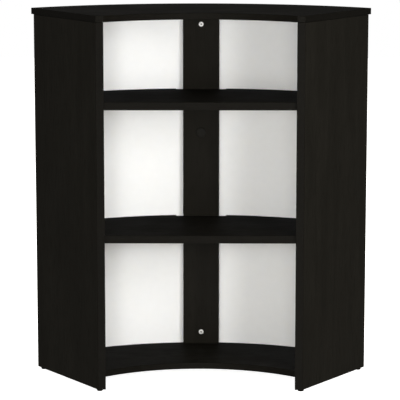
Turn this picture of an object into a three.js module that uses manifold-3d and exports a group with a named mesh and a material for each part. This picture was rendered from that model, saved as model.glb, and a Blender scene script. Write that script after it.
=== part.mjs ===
// Curved counter display unit: an open, back-served cabinet of black board with three niches, a bowed worktop
// and a bowed opal front.
// Millimetres, +Z up. The user stands at -Y, in front of the open niches, and the visitor stands at +Y, in front
// of the opal sheets. The origin is on the floor, under the middle of the unit's box.

import * as THREE from 'three';
import { mergeVertices } from 'three/addons/utils/BufferGeometryUtils.js';
import Module from 'manifold-3d';

const wasm = await Module();
wasm.setup();

// ---- driving dimensions ----

const WIDTH = 966;
const DEPTH = 449;
const HEIGHT = 1048;

const NEAR_HALF_WIDTH = 285;      // from the middle to the outer face of a side panel, at the user's edge
const OUTER_RADIUS = 776.5;       // worktop's bowed edge on the visitor's side
const NEAR_RADIUS = 420;          // hollow edge of the worktop and the bottom shelf on the user's side
const SHELF_REAR_RADIUS = 671.5;  // bowed edge of the shelves, which the opal sheets follow
const SHEET_RADIUS = 672.2;       // inner face of the opal sheets
const SHEET_THICKNESS = 2.5;

const BOARD = 18;                 // worktop, side panels, bottom shelf and centre post
const SHELF_BOARD = 22;           // the two load-carrying shelves
const STRIP_BOARD = 16;           // cover strip
const FIT = 0.3;                  // gap between pieces that touch

const FOOT_HEIGHT = 5;            // the glides hold the panels this far above the floor
const SIDE_SETBACK = 14;          // worktop's overhang past the side panels' far edges
const SHELF_SETBACK = 8;          // the two straight shelves stand this far behind the user's edge
const BOTTOM_SHELF_Z = 42;        // undersides of the shelves
const MIDDLE_SHELF_Z = 419;
const UPPER_SHELF_Z = 789;

const POST_WIDTH = 104;
const NOTCH_WIDTH = 145;
const NOTCH_DEPTH = 20;
const SHEET_FOOT_Z = 36;          // lower end of the sheets, the cover strip and the panels' grooves
const GROOVE_WIDTH = 4.2;
const GROOVE_DEPTH = 9;
const SHEET_GRIP = 8;             // how far a sheet enters a side panel
const TOP_GROOVE_DEPTH = 4;
const SHEET_TOP_PLAY = 1;         // room over a sheet in the worktop's groove
const SHEET_HALF_GAP = 8;         // each sheet stops this far from the middle, beside the bolts

const POST_BOLT_Z = [96, 998];
const CAP_Z = 685;

const CAM_RADIUS = 7.5;
const CAM_SETBACK = 24;           // from a board's end to the middle of its cam
const CAM_ALONG = [40, 200];      // places of the fittings along a side panel
const DOWEL_RADIUS = 4;
const WORKTOP_DOWEL_ALONG = 120;
const POST_DOWEL_X = 32;

const ARC_STEPS = 18;             // half the number of chords in a bowed edge
const WIDE_ROUND = 24;            // sides of a cap or a glide
const ROUND = 16;                 // sides of a cam, its pocket and a bolt's head
const SMALL_ROUND = 10;           // sides of a bolt, and of its hole

const PAST = 1;                   // how far a cutter runs past the face that it opens
const WELD = 1e-4;                // points closer than this are one point

// ---- derived dimensions ----

const ARC_Y = DEPTH / 2 - OUTER_RADIUS;
const NEAR_Y = -DEPTH / 2;
const FAR_CORNER_Y = ARC_Y + Math.sqrt(OUTER_RADIUS ** 2 - (WIDTH / 2) ** 2);
const SPLAY = Math.atan2(WIDTH / 2 - NEAR_HALF_WIDTH, FAR_CORNER_Y - NEAR_Y);
const SIDE_LENGTH = (FAR_CORNER_Y - NEAR_Y) / Math.cos(SPLAY) - SIDE_SETBACK;
const WORKTOP_Z = HEIGHT - BOARD;
const BOTTOM_SHELF_TOP = BOTTOM_SHELF_Z + BOARD;
const SHELF_FRONT_Y = NEAR_Y + SHELF_SETBACK;
const POST_REAR_Y = ARC_Y + Math.sqrt(SHEET_RADIUS ** 2 - (POST_WIDTH / 2) ** 2) - FIT;
const POST_FRONT_Y = POST_REAR_Y - BOARD;
const STRIP_Y = ARC_Y + SHEET_RADIUS + SHEET_THICKNESS + FIT;
const STRIP_OUTER_Y = STRIP_Y + STRIP_BOARD;

// ---- materials ----

const finish = (color, roughness, metalness) => new THREE.MeshStandardMaterial({ color, roughness, metalness });
const BLACK_BOARD = finish(0x1b1916, 0.55, 0);
const OPAL = finish(0xeeeeea, 0.35, 0);
const NICKEL = finish(0xc9c7c0, 0.3, 1);
const ZINC = finish(0x9b9a95, 0.45, 1);
const BLACK_PLASTIC = finish(0x151515, 0.5, 0);
const BEECH = finish(0xc9a878, 0.7, 0);

// ---- solids ----

function toSolid(geometry) {
  const bare = geometry.clone();
  bare.deleteAttribute('normal');
  bare.deleteAttribute('uv');
  const merged = mergeVertices(bare, WELD);
  const vertProperties = new Float32Array(merged.attributes.position.array);
  const triVerts = new Uint32Array(merged.index.array);
  return new wasm.Manifold(new wasm.Mesh({ numProp: 3, vertProperties, triVerts }));
}

function fromSolid(solid) {
  const mesh = solid.getMesh();
  const geometry = new THREE.BufferGeometry();
  geometry.setAttribute('position', new THREE.BufferAttribute(new Float32Array(mesh.vertProperties), 3));
  geometry.setIndex(new THREE.BufferAttribute(new Uint32Array(mesh.triVerts), 1));
  geometry.computeVertexNormals();
  return geometry;
}

function cut(geometry, cutters) {
  let solid = toSolid(geometry);
  for (const cutter of cutters) {
    solid = solid.subtract(toSolid(cutter));
  }
  return fromSolid(solid);
}

function extrude(shape, low, high) {
  const geometry = new THREE.ExtrudeGeometry(shape, {
    depth: high - low,
    bevelEnabled: false,
    curveSegments: ARC_STEPS,
  });
  return geometry.translate(0, 0, low);
}

function outline(points) {
  return new THREE.Shape(points.map(([x, y]) => new THREE.Vector2(x, y)));
}

function box(low, high) {
  const size = high.map((value, axis) => value - low[axis]);
  const middle = high.map((value, axis) => (value + low[axis]) / 2);
  return new THREE.BoxGeometry(...size).translate(...middle);
}

// A turned piece. Its profile is a list of [radius, distance], and the distance runs from start along direction.
function turned(profile, start, direction, sides) {
  const points = profile.map(([radius, distance]) => new THREE.Vector2(radius, distance));
  const geometry = new THREE.LatheGeometry(points, sides);
  const turn = new THREE.Quaternion().setFromUnitVectors(new THREE.Vector3(0, 1, 0), direction);
  return geometry.applyQuaternion(turn).translate(start.x, start.y, start.z);
}

function rod(radius, start, direction, from, to, sides) {
  return turned([[0, from], [radius, from], [radius, to], [0, to]], start, direction, sides);
}

// ---- plan geometry ----

const UP = new THREE.Vector3(0, 0, 1);
const TO_VISITOR = new THREE.Vector3(0, 1, 0);
const TO_USER = new THREE.Vector3(0, -1, 0);

// side is -1 on the left and 1 on the right, seen from the user's side.
const alongSide = (side) => new THREE.Vector3(side * Math.sin(SPLAY), Math.cos(SPLAY), 0);
const outwards = (side) => new THREE.Vector3(side * Math.cos(SPLAY), -Math.sin(SPLAY), 0);

// A point of a side panel: its distance from the outer near corner, and its depth in from the outer face.
function sidePoint(side, along, inward, z) {
  const corner = new THREE.Vector3(side * NEAR_HALF_WIDTH, NEAR_Y, z);
  return corner.addScaledVector(alongSide(side), along).addScaledVector(outwards(side), -inward);
}

// Where the line at one depth in a side panel meets a line of constant y, or an arc about the common centre.
function alongAtY(inward, y) {
  const start = sidePoint(1, 0, inward, 0);
  return (y - start.y) / Math.cos(SPLAY);
}

function alongAtRadius(inward, radius) {
  const start = sidePoint(1, 0, inward, 0);
  const direction = alongSide(1);
  const y = start.y - ARC_Y;
  const b = start.x * direction.x + y * direction.y;
  const c = start.x ** 2 + y ** 2 - radius ** 2;
  return -b + Math.sqrt(b * b - c);
}

const polar = (point) => Math.atan2(point.y - ARC_Y, point.x);

// ---- boards ----

const SHELF_END = BOARD + FIT;

// A shelf has a bowed rear edge. A straight shelf is notched there, round the centre post, and the bottom shelf has
// a hollow front edge like the worktop's.
function shelfBoard(low, high, straight) {
  const front = alongAtY(SHELF_END, SHELF_FRONT_Y);
  const near = straight ? front : alongAtRadius(SHELF_END, NEAR_RADIUS);
  const nearRight = sidePoint(1, near, SHELF_END, 0);
  const rearRight = sidePoint(1, alongAtRadius(SHELF_END, SHELF_REAR_RADIUS), SHELF_END, 0);
  const rearAngle = polar(rearRight);
  const shape = new THREE.Shape();
  shape.moveTo(nearRight.x, nearRight.y);
  shape.lineTo(rearRight.x, rearRight.y);
  if (straight) {
    const notchAngle = Math.acos(NOTCH_WIDTH / 2 / SHELF_REAR_RADIUS);
    const notchY = ARC_Y + SHELF_REAR_RADIUS - NOTCH_DEPTH;
    shape.absarc(0, ARC_Y, SHELF_REAR_RADIUS, rearAngle, notchAngle, false);
    shape.lineTo(NOTCH_WIDTH / 2, notchY);
    shape.lineTo(-NOTCH_WIDTH / 2, notchY);
    shape.absarc(0, ARC_Y, SHELF_REAR_RADIUS, Math.PI - notchAngle, Math.PI - rearAngle, false);
  } else {
    shape.absarc(0, ARC_Y, SHELF_REAR_RADIUS, rearAngle, Math.PI - rearAngle, false);
  }
  shape.lineTo(-nearRight.x, nearRight.y);
  if (!straight) {
    const nearAngle = polar(nearRight);
    shape.absarc(0, ARC_Y, NEAR_RADIUS, Math.PI - nearAngle, nearAngle, true);
  }
  return extrude(shape, low, high);
}

function worktopBoard() {
  const farAngle = Math.atan2(FAR_CORNER_Y - ARC_Y, WIDTH / 2);
  const hollowX = Math.sqrt(NEAR_RADIUS ** 2 - (NEAR_Y - ARC_Y) ** 2);
  const nearAngle = Math.atan2(NEAR_Y - ARC_Y, hollowX);
  const shape = new THREE.Shape();
  shape.moveTo(hollowX, NEAR_Y);
  shape.lineTo(NEAR_HALF_WIDTH, NEAR_Y);
  shape.lineTo(WIDTH / 2, FAR_CORNER_Y);
  shape.absarc(0, ARC_Y, OUTER_RADIUS, farAngle, Math.PI - farAngle, false);
  shape.lineTo(-NEAR_HALF_WIDTH, NEAR_Y);
  shape.lineTo(-hollowX, NEAR_Y);
  shape.absarc(0, ARC_Y, NEAR_RADIUS, Math.PI - nearAngle, nearAngle, true);
  return extrude(shape, WORKTOP_Z, HEIGHT);
}

// A sector of a ring about the common centre.
function ringSector(innerRadius, outerRadius, fromAngle, toAngle, low, high) {
  const shape = new THREE.Shape();
  shape.absarc(0, ARC_Y, outerRadius, fromAngle, toAngle, false);
  shape.absarc(0, ARC_Y, innerRadius, toAngle, fromAngle, true);
  return extrude(shape, low, high);
}

// The vertical groove in a side panel that holds the end of a sheet.
const SHEET_MIDDLE_RADIUS = SHEET_RADIUS + SHEET_THICKNESS / 2;
const GROOVE_ALONG = alongAtRadius(BOARD - GROOVE_DEPTH / 2, SHEET_MIDDLE_RADIUS);

function sideGroove(side) {
  const corners = [
    [GROOVE_ALONG - GROOVE_WIDTH / 2, BOARD - GROOVE_DEPTH],
    [GROOVE_ALONG + GROOVE_WIDTH / 2, BOARD - GROOVE_DEPTH],
    [GROOVE_ALONG + GROOVE_WIDTH / 2, BOARD + PAST],
    [GROOVE_ALONG - GROOVE_WIDTH / 2, BOARD + PAST],
  ];
  const points = corners.map(([along, inward]) => sidePoint(side, along, inward, 0).toArray());
  return extrude(outline(points), SHEET_FOOT_Z, HEIGHT);
}

// ---- fittings ----

// A cam stands in a pocket bored from its board's face, and its bolt crosses it in the middle of the board.
const CAM_SLOT = 3.6;             // half the width of the slot that takes the bolt's head
const CAM_BACK = 4.6;
const POCKET_RADIUS = 8.1;
const BORE_RADIUS = 4.2;
const BORE_OVERLAP = 2;           // the bore runs this far past its board's end
const THREAD_HOLE_RADIUS = 3.6;
const BOLT_TIP_RADIUS = 1.4;
const BOLT_NECK_RADIUS = 1.8;
const BOLT_THREAD_RADIUS = 3;
const BOLT_SHANK_RADIUS = 3.4;
const BOLT_THREAD_LENGTH = 11;
const BOLT_HEAD = { low: -2.4, high: 0.4 };
const BOLT_NECK = { low: 1.4, high: 8.4 };

// centre: where the cam's and the bolt's axes cross. into: the way the cam goes in. ahead: the way the bolt points.
function camPlace(centre, into, ahead, board) {
  return { centre, into, ahead, halfBoard: board / 2 };
}

function camPocket(place) {
  const { centre, into, halfBoard } = place;
  return rod(POCKET_RADIUS, centre, into, -halfBoard - PAST, CAM_BACK + FIT, ROUND);
}

function camBore({ centre, ahead }) {
  return rod(BORE_RADIUS, centre, ahead, 0, CAM_SETBACK + BORE_OVERLAP, SMALL_ROUND);
}

function camThreadHole({ centre, ahead }) {
  const start = CAM_SETBACK - PAST;
  const end = CAM_SETBACK + FIT + BOLT_THREAD_LENGTH + PAST;
  return rod(THREAD_HOLE_RADIUS, centre, ahead, start, end, SMALL_ROUND);
}

function camBody({ centre, into, ahead, halfBoard }) {
  const body = rod(CAM_RADIUS, centre, into, -halfBoard, CAM_BACK, ROUND);
  const slot = new THREE.BoxGeometry(2 * CAM_SLOT, 2 * CAM_SLOT, CAM_RADIUS + 2 * CAM_SLOT);
  slot.translate(0, 0, (CAM_RADIUS + 2 * CAM_SLOT) / 2 - CAM_SLOT);
  const across = new THREE.Vector3().crossVectors(into, ahead);
  slot.applyMatrix4(new THREE.Matrix4().makeBasis(across, into, ahead.clone()).setPosition(centre));
  return cut(body, [slot]);
}

function camBolt({ centre, ahead }) {
  const joint = CAM_SETBACK + FIT / 2;
  const tip = joint + BOLT_THREAD_LENGTH;
  const taper = 1;
  const profile = [
    [0, BOLT_HEAD.low],
    [BOLT_THREAD_RADIUS, BOLT_HEAD.low],
    [BOLT_THREAD_RADIUS, BOLT_HEAD.high],
    [BOLT_NECK_RADIUS, BOLT_NECK.low],
    [BOLT_NECK_RADIUS, BOLT_NECK.high],
    [BOLT_SHANK_RADIUS, BOLT_NECK.high + taper],
    [BOLT_SHANK_RADIUS, joint],
    [BOLT_THREAD_RADIUS, joint],
    [BOLT_THREAD_RADIUS, tip - 2 * taper],
    [BOLT_TIP_RADIUS, tip],
    [0, tip],
  ];
  return turned(profile, centre, ahead, SMALL_ROUND);
}

// Both ends of a shelf hang on cams bored from its underside, with bolts screwed into the side panels.
function shelfCamPlaces(side, low, board) {
  return CAM_ALONG.map((along) => {
    const centre = sidePoint(side, along, SHELF_END + CAM_SETBACK, low + board / 2);
    return camPlace(centre, UP, outwards(side), board);
  });
}

// The worktop sits on cams bored from the inner faces of the side panels, with bolts screwed up into it.
function worktopCamPlaces(side) {
  return CAM_ALONG.map((along) => {
    const centre = sidePoint(side, along, BOARD / 2, WORKTOP_Z - CAM_SETBACK);
    return camPlace(centre, outwards(side), UP, BOARD);
  });
}

const DOWEL_DOWN = 19;
const DOWEL_UP = 11;
const DOWEL_END_RADIUS = 3.2;
const DOWEL_CHAMFER = 1;
const DOWEL_HOLE_RADIUS = 4.6;

function dowel(centre) {
  const profile = [
    [0, -DOWEL_DOWN],
    [DOWEL_END_RADIUS, -DOWEL_DOWN],
    [DOWEL_RADIUS, DOWEL_CHAMFER - DOWEL_DOWN],
    [DOWEL_RADIUS, DOWEL_UP - DOWEL_CHAMFER],
    [DOWEL_END_RADIUS, DOWEL_UP],
    [0, DOWEL_UP],
  ];
  return turned(profile, centre, UP, SMALL_ROUND);
}

const dowelHole = (centre) => rod(DOWEL_HOLE_RADIUS, centre, UP, -DOWEL_DOWN - PAST, DOWEL_UP + PAST, SMALL_ROUND);

const worktopDowelPoint = (side) => sidePoint(side, WORKTOP_DOWEL_ALONG, BOARD / 2, WORKTOP_Z);
const POST_MIDDLE_Y = POST_FRONT_Y + BOARD / 2;
const POST_FOOT_DOWEL_Z = BOTTOM_SHELF_TOP + DOWEL_DOWN - DOWEL_UP;
const postDowelPoint = (side, z) => new THREE.Vector3(side * POST_DOWEL_X, POST_MIDDLE_Y, z);

// A nail-on glide under a side panel.
const GLIDE_RADIUS = 8.5;
const GLIDE_SOLE_RADIUS = 5.5;
const GLIDE_PIN_RADIUS = 1.5;
const GLIDE_PIN_TOP = 18;
const GLIDE_PIN_POINT = 3;
const GLIDE_ALONG = { near: 5, far: SIDE_LENGTH - 20 };

function glidePoint(side, end) {
  return sidePoint(side, GLIDE_ALONG[end], BOARD / 2, 0);
}

function glide(point) {
  const top = FOOT_HEIGHT - FIT;
  const profile = [
    [0, 0],
    [GLIDE_SOLE_RADIUS, 0],
    [(GLIDE_SOLE_RADIUS + 2 * GLIDE_RADIUS) / 3, top / 7],
    [GLIDE_RADIUS, top / 2],
    [GLIDE_RADIUS, top],
    [GLIDE_PIN_RADIUS, top],
    [GLIDE_PIN_RADIUS, GLIDE_PIN_TOP - GLIDE_PIN_POINT],
    [0, GLIDE_PIN_TOP],
  ];
  return turned(profile, point, UP, WIDE_ROUND);
}

function glideHole(point) {
  return rod(GLIDE_PIN_RADIUS + FIT, point, UP, FOOT_HEIGHT - PAST, GLIDE_PIN_TOP + PAST, SMALL_ROUND);
}

// A connecting bolt passes through the centre post from the user's side, into a sleeve nut in the cover strip.
const BOLT_HEAD_RADIUS = 7.3;
const BOLT_CROWN_RADIUS = 5.5;
const BOLT_HEAD_HEIGHT = 2.4;
const NUT_HEAD_HEIGHT = 2;
const HEAD_RIM = 1;               // height of the straight rim of both heads
const SOCKET_RADIUS = 2.4;        // to the corners of the bolt's hexagonal socket
const SHANK_RADIUS = 3;
const SLEEVE_RADIUS = 4.2;
const SLEEVE_BORE_RADIUS = 3.5;
const SLEEVE_LENGTH = 24;
const SLEEVE_BORE_END = 6;
const BOLT_REACH = 31;
const POST_HOLE_RADIUS = 4.8;

function postBolt(z) {
  const seat = new THREE.Vector3(0, POST_FRONT_Y - FIT / 2, z);
  const profile = [
    [0, -BOLT_HEAD_HEIGHT],
    [BOLT_CROWN_RADIUS, -BOLT_HEAD_HEIGHT],
    [BOLT_HEAD_RADIUS, -HEAD_RIM],
    [BOLT_HEAD_RADIUS, 0],
    [SHANK_RADIUS, 0],
    [SHANK_RADIUS, BOLT_REACH],
    [0, BOLT_REACH],
  ];
  const socket = rod(SOCKET_RADIUS, seat, TO_VISITOR, -BOLT_HEAD_HEIGHT - PAST, HEAD_RIM, 6);
  return cut(turned(profile, seat, TO_VISITOR, ROUND), [socket]);
}

function sleeveNut(z) {
  const seat = new THREE.Vector3(0, STRIP_OUTER_Y + FIT / 2, z);
  const profile = [
    [0, -NUT_HEAD_HEIGHT],
    [BOLT_CROWN_RADIUS, -NUT_HEAD_HEIGHT],
    [BOLT_HEAD_RADIUS, -HEAD_RIM],
    [BOLT_HEAD_RADIUS, 0],
    [SLEEVE_RADIUS, 0],
    [SLEEVE_RADIUS, SLEEVE_LENGTH],
    [SLEEVE_BORE_RADIUS, SLEEVE_LENGTH],
    [SLEEVE_BORE_RADIUS, SLEEVE_BORE_END],
    [0, SLEEVE_BORE_END],
  ];
  return turned(profile, seat, TO_USER, ROUND);
}

function boltHole(z) {
  const start = new THREE.Vector3(0, POST_FRONT_Y, z);
  return rod(POST_HOLE_RADIUS, start, TO_VISITOR, -PAST, STRIP_OUTER_Y - POST_FRONT_Y + PAST, ROUND);
}

// A snap-in cap closes a round hole in the face of the centre post.
const CAP_RADIUS = 15;
const CAP_HEIGHT = 1.5;
const CAP_BEVEL = 1;
const CAP_PLUG_RADIUS = 12.2;
const CAP_HOLE_RADIUS = 12.8;
const CAP_PLUG_DEPTH = 9;
const capSeat = new THREE.Vector3(0, POST_FRONT_Y - FIT / 2, CAP_Z);

function holeCap() {
  const profile = [
    [0, -CAP_HEIGHT],
    [CAP_RADIUS - 2 * CAP_BEVEL, -CAP_HEIGHT],
    [CAP_RADIUS, CAP_BEVEL - CAP_HEIGHT],
    [CAP_RADIUS, 0],
    [CAP_PLUG_RADIUS, 0],
    [CAP_PLUG_RADIUS, CAP_PLUG_DEPTH],
    [0, CAP_PLUG_DEPTH],
  ];
  return turned(profile, capSeat, TO_VISITOR, WIDE_ROUND);
}

const capHole = () => rod(CAP_HOLE_RADIUS, capSeat, TO_VISITOR, -PAST, CAP_PLUG_DEPTH + PAST, WIDE_ROUND);

// ---- assembly ----

const unit = new THREE.Group();
unit.name = 'curved_counter_display_unit';

function place(name, geometry, material) {
  const mesh = new THREE.Mesh(geometry, material);
  mesh.name = name;
  unit.add(mesh);
}

const SIDES = { left: -1, right: 1 };
const ENDS = ['near', 'far'];
const flatten = (places) => Object.values(SIDES).flatMap(places);

// worktop, with its groove for the sheets' upper edges
const gripAngle = polar(sidePoint(1, GROOVE_ALONG, BOARD - GROOVE_DEPTH - PAST, 0));
const topGroove = ringSector(
  SHEET_MIDDLE_RADIUS - GROOVE_WIDTH / 2,
  SHEET_MIDDLE_RADIUS + GROOVE_WIDTH / 2,
  gripAngle,
  Math.PI - gripAngle,
  WORKTOP_Z - PAST,
  WORKTOP_Z + TOP_GROOVE_DEPTH,
);
place('worktop', cut(worktopBoard(), [
  topGroove,
  ...flatten(worktopCamPlaces).map(camThreadHole),
  ...flatten((side) => [dowelHole(worktopDowelPoint(side))]),
  ...flatten((side) => [dowelHole(postDowelPoint(side, WORKTOP_Z))]),
]), BLACK_BOARD);

// shelves
const SHELVES = {
  upper_shelf: { low: UPPER_SHELF_Z, board: SHELF_BOARD, straight: true },
  middle_shelf: { low: MIDDLE_SHELF_Z, board: SHELF_BOARD, straight: true },
  bottom_shelf: { low: BOTTOM_SHELF_Z, board: BOARD, straight: false },
};
for (const [name, { low, board, straight }] of Object.entries(SHELVES)) {
  const blank = shelfBoard(low, low + board, straight);
  const places = flatten((side) => shelfCamPlaces(side, low, board));
  const cutters = [...places.map(camPocket), ...places.map(camBore)];
  if (!straight) {
    cutters.push(...flatten((side) => [dowelHole(postDowelPoint(side, POST_FOOT_DOWEL_Z))]));
  }
  place(name, cut(blank, cutters), BLACK_BOARD);
}

// side panels
for (const [name, side] of Object.entries(SIDES)) {
  const plan = outline([
    [side * NEAR_HALF_WIDTH, NEAR_Y],
    sidePoint(side, SIDE_LENGTH, 0, 0).toArray(),
    sidePoint(side, SIDE_LENGTH, BOARD, 0).toArray(),
    sidePoint(side, alongAtY(BOARD, NEAR_Y), BOARD, 0).toArray(),
  ]);
  const shelfPlaces = Object.values(SHELVES).flatMap(({ low, board }) => shelfCamPlaces(side, low, board));
  const topPlaces = worktopCamPlaces(side);
  place(`${name}_side_panel`, cut(extrude(plan, FOOT_HEIGHT, WORKTOP_Z - FIT), [
    sideGroove(side),
    ...shelfPlaces.map(camThreadHole),
    ...topPlaces.map(camPocket),
    ...topPlaces.map(camBore),
    dowelHole(worktopDowelPoint(side)),
    ...ENDS.map((end) => glideHole(glidePoint(side, end))),
  ]), BLACK_BOARD);
}

// centre post and cover strip
const post = box(
  [-POST_WIDTH / 2, POST_FRONT_Y, BOTTOM_SHELF_TOP + FIT],
  [POST_WIDTH / 2, POST_REAR_Y, WORKTOP_Z - FIT],
);
place('centre_post', cut(post, [
  ...POST_BOLT_Z.map(boltHole),
  capHole(),
  ...flatten((side) => [dowelHole(postDowelPoint(side, WORKTOP_Z))]),
  ...flatten((side) => [dowelHole(postDowelPoint(side, POST_FOOT_DOWEL_Z))]),
]), BLACK_BOARD);

const strip = box(
  [-POST_WIDTH / 2, STRIP_Y, SHEET_FOOT_Z],
  [POST_WIDTH / 2, STRIP_OUTER_Y, WORKTOP_Z - FIT],
);
place('front_cover_strip', cut(strip, POST_BOLT_Z.map(boltHole)), BLACK_BOARD);

// opal sheets, from the middle to the grooves of the side panels
const sheetEnd = polar(sidePoint(1, GROOVE_ALONG, BOARD - SHEET_GRIP, 0));
const sheetStart = Math.acos(SHEET_HALF_GAP / SHEET_RADIUS);
const sheetTop = WORKTOP_Z + TOP_GROOVE_DEPTH - SHEET_TOP_PLAY;
const sheetSpan = {
  left: [Math.PI - sheetStart, Math.PI - sheetEnd],
  right: [sheetEnd, sheetStart],
};
for (const [name, [from, to]] of Object.entries(sheetSpan)) {
  const outer = SHEET_RADIUS + SHEET_THICKNESS;
  place(`${name}_front_sheet`, ringSector(SHEET_RADIUS, outer, from, to, SHEET_FOOT_Z + FIT, sheetTop), OPAL);
}

// bolts, nuts and cap of the centre post
['lower', 'upper'].forEach((name, index) => {
  place(`${name}_post_bolt`, postBolt(POST_BOLT_Z[index]), NICKEL);
  place(`${name}_sleeve_nut`, sleeveNut(POST_BOLT_Z[index]), NICKEL);
});
place('post_hole_cap', holeCap(), BLACK_PLASTIC);

// cams and their bolts, dowels and glides
for (const [sideName, side] of Object.entries(SIDES)) {
  const joints = { worktop: worktopCamPlaces(side) };
  for (const [shelf, { low, board }] of Object.entries(SHELVES)) {
    joints[shelf] = shelfCamPlaces(side, low, board);
  }
  for (const [joint, places] of Object.entries(joints)) {
    places.forEach((where, index) => {
      place(`${joint}_cam_${sideName}_${ENDS[index]}`, camBody(where), ZINC);
      place(`${joint}_cam_bolt_${sideName}_${ENDS[index]}`, camBolt(where), NICKEL);
    });
  }
  place(`worktop_dowel_${sideName}`, dowel(worktopDowelPoint(side)), BEECH);
  place(`post_top_dowel_${sideName}`, dowel(postDowelPoint(side, WORKTOP_Z)), BEECH);
  const foot = postDowelPoint(side, POST_FOOT_DOWEL_Z);
  place(`post_foot_dowel_${sideName}`, dowel(foot), BEECH);
  for (const end of ENDS) {
    place(`glide_${sideName}_${end}`, glide(glidePoint(side, end)), BLACK_PLASTIC);
  }
}

export default unit;
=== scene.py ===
# Curved counter display unit: its looks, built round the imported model.
# The plan below is in millimetres, and every mesh is made in metres. +Z is up, and the user stands at -Y.
import math
from collections import namedtuple

import bmesh
import bpy
from mathutils import Matrix, Vector


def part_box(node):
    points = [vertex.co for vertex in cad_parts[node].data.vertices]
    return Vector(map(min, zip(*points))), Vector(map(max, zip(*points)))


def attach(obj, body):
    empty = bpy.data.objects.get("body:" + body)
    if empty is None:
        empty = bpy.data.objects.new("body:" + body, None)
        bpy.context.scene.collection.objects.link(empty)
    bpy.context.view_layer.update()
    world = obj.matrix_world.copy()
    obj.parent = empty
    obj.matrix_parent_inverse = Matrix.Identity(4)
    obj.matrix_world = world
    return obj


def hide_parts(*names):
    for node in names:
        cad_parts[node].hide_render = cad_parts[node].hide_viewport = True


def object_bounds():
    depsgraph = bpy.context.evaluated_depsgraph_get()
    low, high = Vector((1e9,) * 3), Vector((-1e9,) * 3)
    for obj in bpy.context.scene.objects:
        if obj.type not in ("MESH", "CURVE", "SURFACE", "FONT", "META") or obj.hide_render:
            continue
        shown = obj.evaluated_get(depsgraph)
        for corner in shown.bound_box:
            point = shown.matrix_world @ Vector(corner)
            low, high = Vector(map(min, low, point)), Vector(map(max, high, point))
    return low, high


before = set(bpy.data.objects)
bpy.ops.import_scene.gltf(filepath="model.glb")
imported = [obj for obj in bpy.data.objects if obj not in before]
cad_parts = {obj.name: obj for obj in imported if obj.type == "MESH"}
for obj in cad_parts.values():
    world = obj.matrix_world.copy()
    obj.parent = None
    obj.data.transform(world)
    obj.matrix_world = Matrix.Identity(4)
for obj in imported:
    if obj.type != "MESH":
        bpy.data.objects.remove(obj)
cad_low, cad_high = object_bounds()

scene = bpy.context.scene
MM = 0.001

# ---- sizes taken from the frame ----


def box_mm(node):
    """Lowest and highest corner of a CAD node, in millimetres."""
    low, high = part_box(node)
    return low / MM, high / MM


worktop_low, worktop_high = box_mm("worktop")
HALF_WIDTH = worktop_high.x
NEAR_Y = worktop_low.y
FAR_Y = worktop_high.y
WORKTOP_Z = worktop_low.z
HEIGHT = worktop_high.z
BOARD = HEIGHT - WORKTOP_Z
PANEL_FOOT_Z = box_mm("left_side_panel")[0].z
SHELF_FRONT_Y = box_mm("middle_shelf")[0].y
SHELF_SPAN = {name: box_mm(name) for name in ("upper_shelf", "middle_shelf", "bottom_shelf")}

# ---- driving dimensions of the plan, as the CAD source has them ----

NEAR_HALF_WIDTH = 285
OUTER_RADIUS = 776.5
NEAR_RADIUS = 420
SHELF_REAR_RADIUS = 671.5
SHEET_RADIUS = 672.2
SHEET_THICKNESS = 2.5
FIT = 0.3
SIDE_SETBACK = 14
NOTCH_WIDTH = 145
NOTCH_DEPTH = 20
SHEET_FOOT_Z = 36
GROOVE_WIDTH = 4.2
GROOVE_DEPTH = 9
SHEET_GRIP = 8
TOP_GROOVE_DEPTH = 4
SHEET_HALF_GAP = 8
CAM_SETBACK = 24
CAM_ALONG = {"near": 40, "far": 200}
POST_BOLT_Z = {"lower": 96, "upper": 998}
CAP_Z = 685
WORKTOP_DOWEL_ALONG = 120
POST_DOWEL_X = 32

# Boards that meet are drawn closer together than in the CAD model, so that no light shows between them.
GAP_SHOWN = 0.05
SNUG = FIT - GAP_SHOWN
SHELF_END = BOARD + FIT - SNUG

PAST = 1       # how far a cutter runs past the face that it opens
END_PLAY = 1   # how much deeper a hole is than the part that goes into it

ARC_Y = FAR_Y - OUTER_RADIUS
FAR_CORNER_Y = ARC_Y + math.sqrt(OUTER_RADIUS**2 - HALF_WIDTH**2)
SPLAY = math.atan2(HALF_WIDTH - NEAR_HALF_WIDTH, FAR_CORNER_Y - NEAR_Y)
SIDE_LENGTH = (FAR_CORNER_Y - NEAR_Y) / math.cos(SPLAY) - SIDE_SETBACK
SIDES = {"left": -1, "right": 1}
RIGHTWARDS = Vector((1, 0, 0))
TO_VISITOR = Vector((0, 1, 0))
TO_USER = Vector((0, -1, 0))
UP = Vector((0, 0, 1))

# ---- plan geometry ----

ARC_STEPS = 72
NOTCHED_ARC_STEPS = 36   # in each half of a rear edge with a notch


def along_side(side):
    return Vector((side * math.sin(SPLAY), math.cos(SPLAY), 0))


def outwards(side):
    return Vector((side * math.cos(SPLAY), -math.sin(SPLAY), 0))


def side_point(side, along, inward, z=0.0):
    """A point of a side panel, by its distance from the outer near corner and its depth in from the outer
    face."""
    corner = Vector((side * NEAR_HALF_WIDTH, NEAR_Y, z))
    return corner + along * along_side(side) - inward * outwards(side)


def along_at_y(inward, y):
    return (y - side_point(1, 0, inward).y) / math.cos(SPLAY)


def along_at_radius(inward, radius):
    start = side_point(1, 0, inward) - Vector((0, ARC_Y, 0))
    b = start.dot(along_side(1))
    return -b + math.sqrt(b * b - start.length_squared + radius**2)


def polar(point):
    return math.atan2(point.y - ARC_Y, point.x)


def arc(radius, start, end, steps=ARC_STEPS):
    """Plan points of a bowed edge. All the bowed edges share one centre."""
    angles = [start + (end - start) * i / steps for i in range(steps + 1)]
    return [Vector((radius * math.cos(a), ARC_Y + radius * math.sin(a))) for a in angles]


def mirrored(points):
    return [Vector((-p.x, p.y)) for p in reversed(points)]


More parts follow.
